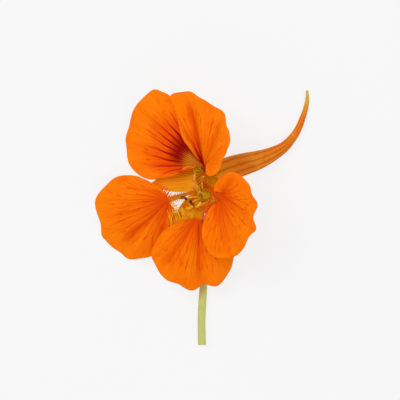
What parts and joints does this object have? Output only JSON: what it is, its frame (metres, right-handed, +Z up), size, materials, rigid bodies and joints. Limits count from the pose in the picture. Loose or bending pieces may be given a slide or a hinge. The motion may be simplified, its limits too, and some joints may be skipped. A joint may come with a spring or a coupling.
{
  "type": "nasturtium flower",
  "caption": "Spurred orange garden flower with a short cut stalk, lying on its back, with broad upper petals, fringed lower petals, sepals, a curved nectar spur and stamens",
  "frame": {"origin": "centre of the bounding box's underside, on the surface that the flower lies on", "axes": "+Z up, away from the surface and out of the open face of the flower; the stalk runs to -Y and the spur to +X; Y is the longest extent"},
  "size_m": [0.0598, 0.0708, 0.0265],
  "materials": {
    "petal": "soft satin petal, saturated orange, thin and slightly translucent",
    "sepal": "soft satin, yellow-orange with dark lines",
    "calyx": "soft satin, orange-brown outside and yellow inside",
    "stalk": "soft satin pale green, slightly moist",
    "filament": "soft satin, yellow-orange",
    "anther": "dull dusty brown",
    "ovary": "satin yellow-green",
    "style": "soft satin, pale yellow"
  },
  "bodies": {
    "root": {"calyx_spur": "calyx", "stalk": "stalk", "ovary": "ovary", "style": "style", "petal_upper_left": "petal", "petal_upper_right": "petal", "petal_lower_left": "petal", "petal_lower_middle": "petal", "petal_lower_right": "petal", "sepal_left": "sepal", "sepal_lower_left": "sepal", "sepal_lower_right": "sepal", "sepal_upper_left": "sepal", "sepal_upper_right": "sepal", "filament_1": "filament", "anther_1": "anther", "filament_2": "filament", "anther_2": "anther", "filament_3": "filament", "anther_3": "anther", "filament_4": "filament", "anther_4": "anther", "filament_5": "filament", "anther_5": "anther", "filament_6": "filament", "anther_6": "anther", "filament_7": "filament", "anther_7": "anther", "filament_8": "filament", "anther_8": "anther"}
  },
  "joints": []
}
